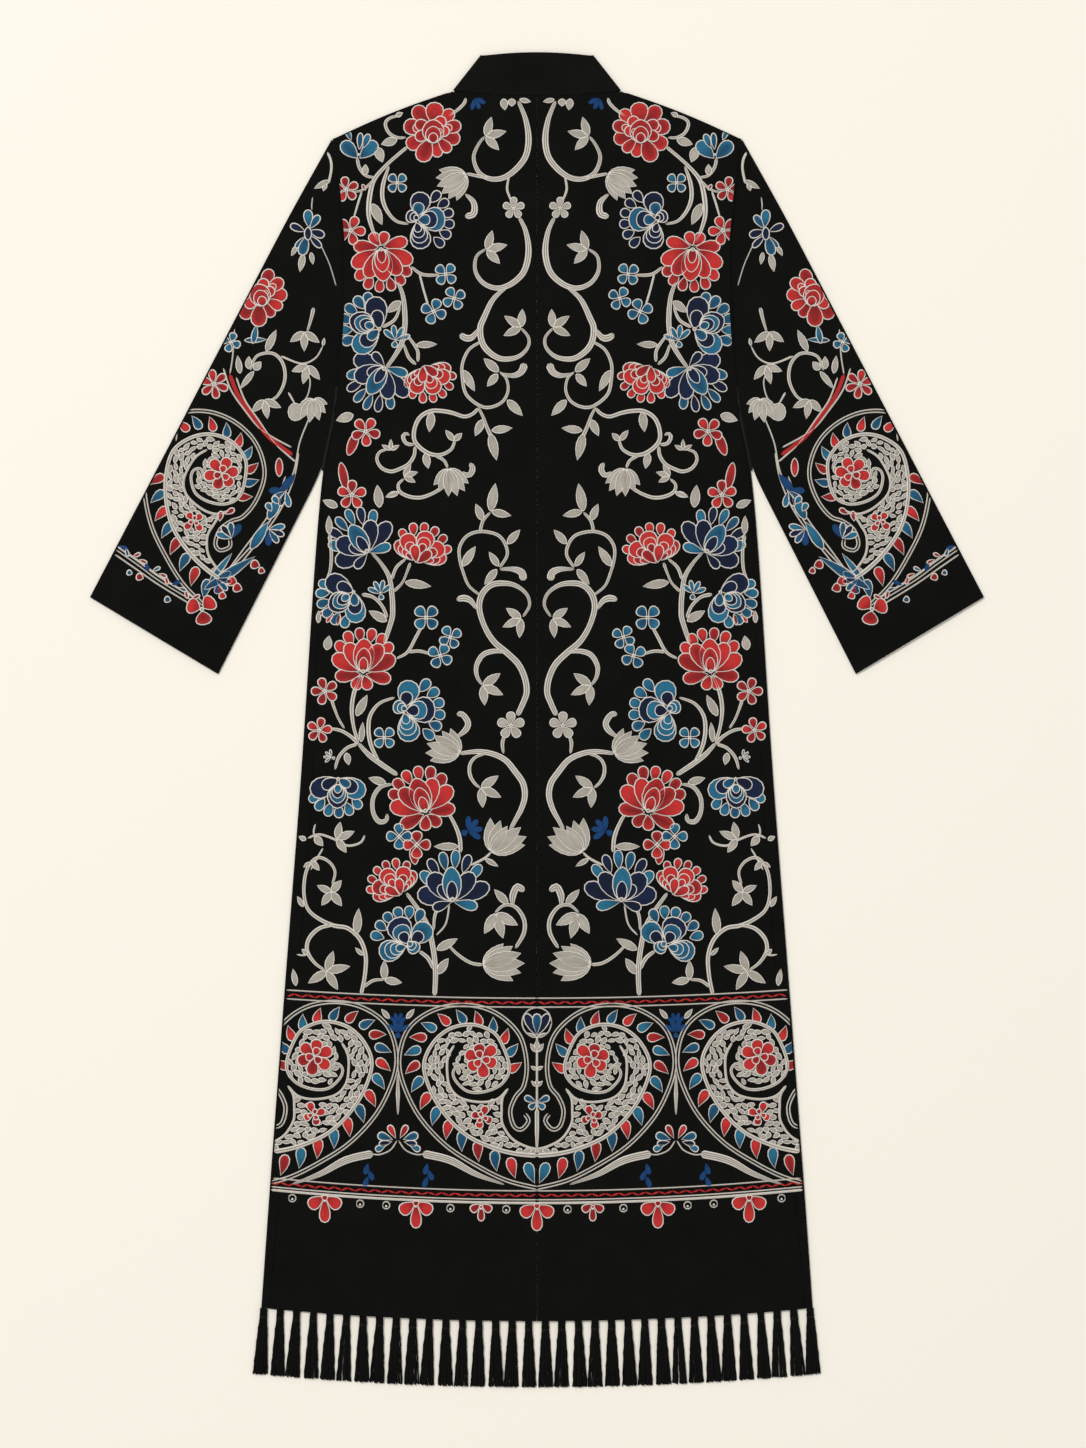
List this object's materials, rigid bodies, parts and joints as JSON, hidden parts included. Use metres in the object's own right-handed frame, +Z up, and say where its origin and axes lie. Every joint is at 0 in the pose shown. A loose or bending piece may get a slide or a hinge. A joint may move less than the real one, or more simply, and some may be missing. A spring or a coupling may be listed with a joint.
{
  "type": "kaftan",
  "caption": "Long black stand-collar kaftan laid flat with its back up, dense floral and paisley embroidery on body and sleeves, and a row of tassels along the hem.",
  "frame": {"origin": "bottom centre of the bounding box, on the surface that the garment lies on", "axes": "+Y from the hem to the collar, +Z up out of the surface, -X the wearer's left"},
  "size_m": [0.9612, 1.4356, 0.0051],
  "materials": {
    "cloth": "matt black woven cloth with a faint sheen",
    "tassel_thread": "soft black twisted thread",
    "cream_thread": "cream embroidery thread in chain stitch",
    "red_thread": "red embroidery thread in chain stitch",
    "blue_thread": "light blue embroidery thread in chain stitch",
    "navy_thread": "dark blue embroidery thread in chain stitch"
  },
  "bodies": {
    "root": {"back_left": "cloth", "back_right": "cloth", "front_left": "cloth", "front_right": "cloth", "sleeve_left": "cloth", "sleeve_right": "cloth", "collar": "cloth", "tassel_01": "tassel_thread", "tassel_02": "tassel_thread", "tassel_03": "tassel_thread", "tassel_04": "tassel_thread", "tassel_05": "tassel_thread", "tassel_06": "tassel_thread", "tassel_07": "tassel_thread", "tassel_08": "tassel_thread", "tassel_09": "tassel_thread", "tassel_10": "tassel_thread", "tassel_11": "tassel_thread", "tassel_12": "tassel_thread", "tassel_13": "tassel_thread", "tassel_14": "tassel_thread", "tassel_15": "tassel_thread", "tassel_16": "tassel_thread", "tassel_17": "tassel_thread", "tassel_18": "tassel_thread", "tassel_19": "tassel_thread", "tassel_20": "tassel_thread", "tassel_21": "tassel_thread", "tassel_22": "tassel_thread", "tassel_23": "tassel_thread", "tassel_24": "tassel_thread", "tassel_25": "tassel_thread", "tassel_26": "tassel_thread", "tassel_27": "tassel_thread", "tassel_28": "tassel_thread", "tassel_29": "tassel_thread", "tassel_30": "tassel_thread", "tassel_31": "tassel_thread", "tassel_32": "tassel_thread", "tassel_33": "tassel_thread", "tassel_34": "tassel_thread"}
  },
  "joints": []
}
